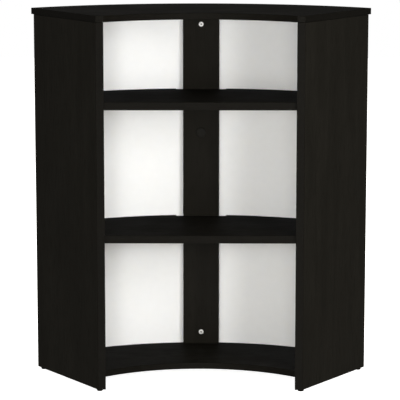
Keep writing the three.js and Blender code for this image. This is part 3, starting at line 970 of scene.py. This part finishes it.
def build_post_bolts():
    thread = Thread(BOLT_PLAIN_LENGTH, BOLT_REACH - BOLT_TIP_LENGTH, BOLT_PITCH, BOLT_THREAD_DEPTH)
    shank = [(BOLT_SHANK_RADIUS, z) for z in (UNDER_SEAT, thread.start, thread.end)]
    profile = domed_head(BOLT_HEAD_RADIUS, BOLT_HEAD_HEIGHT) + shank + [(BOLT_TIP_RADIUS, BOLT_REACH)]
    for name, z in POST_BOLT_Z.items():
        node = f"{name}_post_bolt"
        seat = axes(Vector((0, post_low.y - FIT / 2, z)), TO_VISITOR, RIGHTWARDS)
        mesh = finished_mesh(node, turned(profile, seat, thread=thread), [nickel])
        # The hex socket's faces are painted near black, as shade in the recess.
        mesh = cut(mesh, [hex_socket(seat, BOLT_HEAD_HEIGHT)], socket_steel)
        show(mesh, node, "steel")


def build_sleeve_nuts():
    sleeve = [(SLEEVE_RADIUS, UNDER_SEAT), (SLEEVE_RADIUS, SLEEVE_LENGTH - SLEEVE_CHAMFER),
              (SLEEVE_RADIUS - SLEEVE_CHAMFER, SLEEVE_LENGTH)]
    profile = domed_head(BOLT_HEAD_RADIUS, NUT_HEAD_HEIGHT) + sleeve
    for name, z in POST_BOLT_Z.items():
        node = f"{name}_sleeve_nut"
        seat = axes(Vector((0, strip_high.y + FIT / 2, z)), TO_USER, RIGHTWARDS)
        mesh = finished_mesh(node, turned(profile, seat), [nickel])
        bore_end = SLEEVE_LENGTH + PAST
        bore = prism(BOLT_HOLE_SIDES, SLEEVE_BORE_RADIUS, SLEEVE_BORE_START, bore_end, seat)
        # The faces of the bore and the hex socket are painted near black, as shade in the recess.
        mesh = cut(mesh, [bore, hex_socket(seat, NUT_HEAD_HEIGHT)], socket_steel)
        show(mesh, node, "steel")


# (radius, distance) of the cap's flat dome, down to its seat.
CAP_DOME = [(4, -1.5), (CAP_RADIUS - 3, -1.45), (CAP_RADIUS - 1.4, -1.2), (CAP_RADIUS - 0.4, -0.7),
            (CAP_RADIUS, -0.2), (CAP_RADIUS - 0.2, 0)]
CAP_RIB_STARTS = (2, 4, 6)
CAP_RIB_HEIGHT = 0.4
CAP_RIB_LENGTH = 1


def build_cap():
    seat = axes(Vector((0, post_low.y - FIT / 2, CAP_Z)), TO_VISITOR)
    neck = CAP_PLUG_RADIUS - CAP_RIB_HEIGHT
    profile = [*CAP_DOME, (neck, UNDER_SEAT)]
    for start in CAP_RIB_STARTS:
        peak = (CAP_PLUG_RADIUS, start + CAP_RIB_HEIGHT)
        profile += [(neck, start), peak, (neck, start + CAP_RIB_LENGTH)]
    profile.append((neck - CAP_RIB_HEIGHT, CAP_PLUG_DEPTH))
    mesh = finished_mesh("post_hole_cap", turned(profile, seat, WIDE_TURNED_SIDES), [plastic])
    show(mesh, "post_hole_cap", "moulding")


CAM_RIM = 0.35             # bevel of a cam's two ends
CAM_HEAD_COLLAR = 1.6
CAM_BACK_COLLAR = 1.2
CAM_WAIST_RADIUS = CAM_RADIUS - 0.5
CAM_WAIST_SLOPE = 0.4
CAM_MOUTH = 3.6            # half the width of the opening that the bolt's head goes in by
CROSS_REACH = 3.2
CROSS_HALF_WIDTH = 0.6
CROSS_DEPTH = 2.6
CROSS_TURNS = (45, 135)    # degrees
POINTER_SIDES = 3
POINTER_RADIUS = 1.5
POINTER_DEPTH = 0.7
POINTER_OUT = 5.4


def cam_profile(half):
    head = CAM_HEAD_COLLAR - half
    back = CAM_BACK - CAM_BACK_COLLAR
    return [
        (CAM_RADIUS - CAM_RIM, -half), (CAM_RADIUS, CAM_RIM - half), (CAM_RADIUS, head),
        (CAM_WAIST_RADIUS, head + CAM_WAIST_SLOPE), (CAM_WAIST_RADIUS, back - CAM_WAIST_SLOPE),
        (CAM_RADIUS, back), (CAM_RADIUS, CAM_BACK - CAM_RIM), (CAM_RADIUS - CAM_RIM, CAM_BACK),
    ]


def build_cams():
    """The cams, each with a cross recess and a small pointer in its head."""
    for node, (centre, into, ahead, half) in CAM_PLACES.items():
        place = axes(centre, into, ahead)
        body = finished_mesh(node, turned(cam_profile(half), place), [zinc])
        above = -half - PAST
        mouth_low = (-CAM_MOUTH, -CAM_MOUTH, -CAM_MOUTH)
        mouth_high = (CAM_RADIUS + CAM_MOUTH, CAM_MOUTH, CAM_MOUTH)
        cutters = [slab(mouth_low, mouth_high, place)]
        for turn in CROSS_TURNS:
            blade = place @ Matrix.Rotation(math.radians(turn), 4, "Z")
            low = (-CROSS_REACH, -CROSS_HALF_WIDTH, above)
            high = (CROSS_REACH, CROSS_HALF_WIDTH, CROSS_DEPTH - half)
            cutters.append(slab(low, high, blade))
        pointer_place = place @ Matrix.Translation((POINTER_OUT, 0, 0))
        pointer_end = POINTER_DEPTH - half
        cutters.append(prism(POINTER_SIDES, POINTER_RADIUS, above, pointer_end, pointer_place))
        show(cut(body, cutters, zinc), node, "casting")


CAM_BOLT_HEAD = [(2.4, -2.4), (3.0, -1.9), (3.0, 0.2)]
CAM_BOLT_NECK = [(1.8, 1.4), (1.8, 8.4)]
CAM_BOLT_COLLAR_RADIUS = 3.4
CAM_BOLT_COLLAR_START = 9.4
CAM_BOLT_COLLAR_SLOPE = 0.6
CAM_BOLT_THREAD_RADIUS = 3.0
CAM_BOLT_PITCH = 2.4
CAM_BOLT_THREAD_DEPTH = 0.8
CAM_BOLT_TIP = 1.4         # both its length and its radius at the end


def build_cam_bolts():
    joint = CAM_SETBACK + FIT / 2
    tip = joint + CAM_BOLT_THREAD_LENGTH
    thread = Thread(joint, tip - CAM_BOLT_TIP, CAM_BOLT_PITCH, CAM_BOLT_THREAD_DEPTH)
    collar_end = joint - CAM_BOLT_COLLAR_SLOPE
    collar = [(CAM_BOLT_COLLAR_RADIUS, z) for z in (CAM_BOLT_COLLAR_START, collar_end)]
    screw = [(CAM_BOLT_THREAD_RADIUS, z) for z in (thread.start, thread.end)]
    profile = CAM_BOLT_HEAD + CAM_BOLT_NECK + collar + screw + [(CAM_BOLT_TIP, tip)]
    for node, (centre, into, ahead, _) in CAM_PLACES.items():
        bolt = turned(profile, axes(centre, ahead, into), SMALL_TURNED_SIDES, thread)
        mesh = finished_mesh(f"{node}_bolt", bolt, [nickel])
        show(mesh, node.replace("_cam_", "_cam_bolt_"), "steel")


DOWEL_END_RADIUS = 3.2
DOWEL_CHAMFER = 1
DOWEL_FLUTES = 18
POINTS_PER_FLUTE = 4
FLUTE_DEPTH = 0.28


def fluted_ring(point, radius, z):
    ring = []
    count = DOWEL_FLUTES * POINTS_PER_FLUTE
    for i in range(count):
        angle = 2 * math.pi * i / count
        r = radius - (FLUTE_DEPTH if i % POINTS_PER_FLUTE == 0 else 0)
        ring.append((point + Vector((r * math.cos(angle), r * math.sin(angle), z))) * MM)
    return ring


def build_dowels():
    points = {}
    for name, side in SIDES.items():
        points[f"worktop_dowel_{name}"] = worktop_dowel_point(side)
        points[f"post_top_dowel_{name}"] = post_dowel_point(side, WORKTOP_Z)
        points[f"post_foot_dowel_{name}"] = post_dowel_point(side, POST_FOOT_DOWEL_Z)
    profile = [
        (DOWEL_END_RADIUS, -DOWEL_DOWN), (DOWEL_RADIUS, DOWEL_CHAMFER - DOWEL_DOWN),
        (DOWEL_RADIUS, DOWEL_UP - DOWEL_CHAMFER), (DOWEL_END_RADIUS, DOWEL_UP),
    ]
    for node, point in points.items():
        rings = [fluted_ring(point, radius, z) for radius, z in profile]
        show(finished_mesh(node, loft(rings), [beech]), node, "wood")


# (radius, height) of the domed sole of a glide, up to its widest.
GLIDE_SOLE = [(4.2, 0), (5.5, 0.08), (6.6, 0.35), (7.4, 0.8), (8.1, 1.5), (8.4, 2.2), (GLIDE_RADIUS, 3.0)]
GLIDE_TOP_BEVEL = 0.3
GLIDE_POINT_RADIUS = 0.3
GLIDE_POINT_LENGTH = 4


def build_glides():
    top = PANEL_FOOT_Z - FIT
    rim = [(GLIDE_RADIUS, top - GLIDE_TOP_BEVEL), (GLIDE_RADIUS - GLIDE_TOP_BEVEL, top)]
    pin = [(GLIDE_PIN_RADIUS, top + UNDER_SEAT), (GLIDE_PIN_RADIUS, GLIDE_PIN_TOP - GLIDE_POINT_LENGTH)]
    profile = GLIDE_SOLE + rim + pin + [(GLIDE_POINT_RADIUS, GLIDE_PIN_TOP)]
    for name, side in SIDES.items():
        for end in GLIDE_ALONG:
            node = f"glide_{name}_{end}"
            body = turned(profile, axes(glide_point(side, end), UP), WIDE_TURNED_SIDES)
            show(finished_mesh(node, body, [plastic]), node, "moulding")


# ---- stage ----

FLOOR_HALF = 9.0
WHITE = (1, 1, 1)
FLOOR_GREY = (0.85, 0.85, 0.85, 1)
AMBIENT = tuple(0.7 * c for c in (1.0, 0.966, 0.89))

# What glossy surfaces reflect: grey levels by the height of a direction, from -1 straight down to 1
# straight up.
GLOSS_BY_HEIGHT = [(-1.0, 0.14), (-0.10, 0.14), (0.02, 0.075), (0.95, 0.10)]


def build_floor():
    """A plain pale floor, bright enough to run into the white backdrop."""
    bm = bmesh.new()
    corners = rectangle(-FLOOR_HALF, -FLOOR_HALF, FLOOR_HALF, FLOOR_HALF)
    bm.faces.new([bm.verts.new((*p, cad_low.z)) for p in corners])
    finish = Finish("pale_floor", Base_Color=FLOOR_GREY, Roughness=0.9, Specular_IOR_Level=0.0,
                    Emission_Color=(*WHITE, 1), Emission_Strength=0.9)
    floor = bpy.data.objects.new("floor", finished_mesh("floor", bm, [finish.material]))
    scene.collection.objects.link(floor)
    floor.visible_glossy = False
    floor.visible_diffuse = False
    floor.visible_shadow = False


def build_world():
    """White to the camera. Diffuse surfaces are lit evenly from all round, and glossy ones reflect a dim
    room that is palest towards its floor."""
    world = bpy.data.worlds.new("studio")
    world.use_nodes = True
    scene.world = world
    tree = world.node_tree
    path = tree.nodes.new("ShaderNodeLightPath")
    direction = tree.nodes.new("ShaderNodeTexCoord")
    split = tree.nodes.new("ShaderNodeSeparateXYZ")
    height = tree.nodes.new("ShaderNodeMapRange")
    height.inputs["From Min"].default_value = -1
    room = colour_ramp(tree, [((z + 1) / 2, level) for z, level in GLOSS_BY_HEIGHT])
    tree.links.new(direction.outputs["Generated"], split.inputs["Vector"])
    tree.links.new(split.outputs["Z"], height.inputs["Value"])
    tree.links.new(height.outputs["Result"], room.inputs["Fac"])
    lit = colour_mix(tree, path.outputs["Is Glossy Ray"], AMBIENT, room.outputs["Color"])
    seen = colour_mix(tree, path.outputs["Is Camera Ray"], lit, WHITE)
    tree.links.new(seen, tree.nodes["Background"].inputs["Color"])


LIT_POINT = Vector((0, 0, 0.6))


def area_light(name, place, shape, size, power):
    light = bpy.data.lights.new(name, "AREA")
    light.shape = shape
    light.size, light.size_y = size
    light.energy = power
    lamp = bpy.data.objects.new(name, light)
    lamp.location = place
    lamp.rotation_euler = (LIT_POINT - Vector(place)).to_track_quat("-Z", "Y").to_euler()
    lamp.visible_camera = False
    scene.collection.objects.link(lamp)
    return lamp


def soft_light(name, place, width, power):
    """A round light for diffuse surfaces, with no gloss of its own."""
    lamp = area_light(name, place, "DISK", (width, width), power)
    lamp.visible_glossy = False


def reflector(name, place, size, power):
    """A pale panel that shows only in glossy surfaces."""
    lamp = area_light(name, place, "RECTANGLE", size, power)
    lamp.visible_diffuse = False


def build_lights():
    soft_light("key", (1.82, -3.56, 1.1), width=0.7, power=29)
    soft_light("high_key", (1.81, -2.16, 1.40), width=1.2, power=35)
    soft_light("low_fill", (0, -2.99, 0.86), width=1.2, power=28)
    soft_light("left_fill", (-0.63, -3.95, 1.05), width=0.7, power=35)
    soft_light("back_light", (-1.2, 3.2, 2.4), width=1.6, power=60)
    reflector("front_reflector", (0.2, -5.0, -0.2), size=(3.6, 4.4), power=52)
    reflector("back_reflector", (-0.4, 5.0, -0.4), size=(3.0, 1.6), power=13)


SENSOR_WIDTH = 36
FOCAL_LENGTH = 191.9
VIEW_DEPTH = 100
CAMERA_PLACE = (0.0437, -6.0, 1.517)

# Radians.
LOOKING_DOWN = 0.1672
LOOKING_LEFT = 0.0077


def build_camera():
    """A long lens a little above the worktop's level, looking slightly down."""
    camera = bpy.data.cameras.new("camera")
    camera.sensor_width = SENSOR_WIDTH
    camera.lens = FOCAL_LENGTH
    camera.clip_end = VIEW_DEPTH
    seat = bpy.data.objects.new("camera", camera)
    seat.location = CAMERA_PLACE
    seat.rotation_euler = (math.pi / 2 - LOOKING_DOWN, 0, LOOKING_LEFT)
    scene.collection.objects.link(seat)
    scene.camera = seat


build_worktop()
build_shelves()
build_side_panels()
build_post_and_strip()
build_sheets()
build_post_bolts()
build_sleeve_nuts()
build_cap()
build_cams()
build_cam_bolts()
build_dowels()
build_glides()

build_floor()
build_world()
build_lights()
build_camera()

scene.view_settings.view_transform = "Standard"
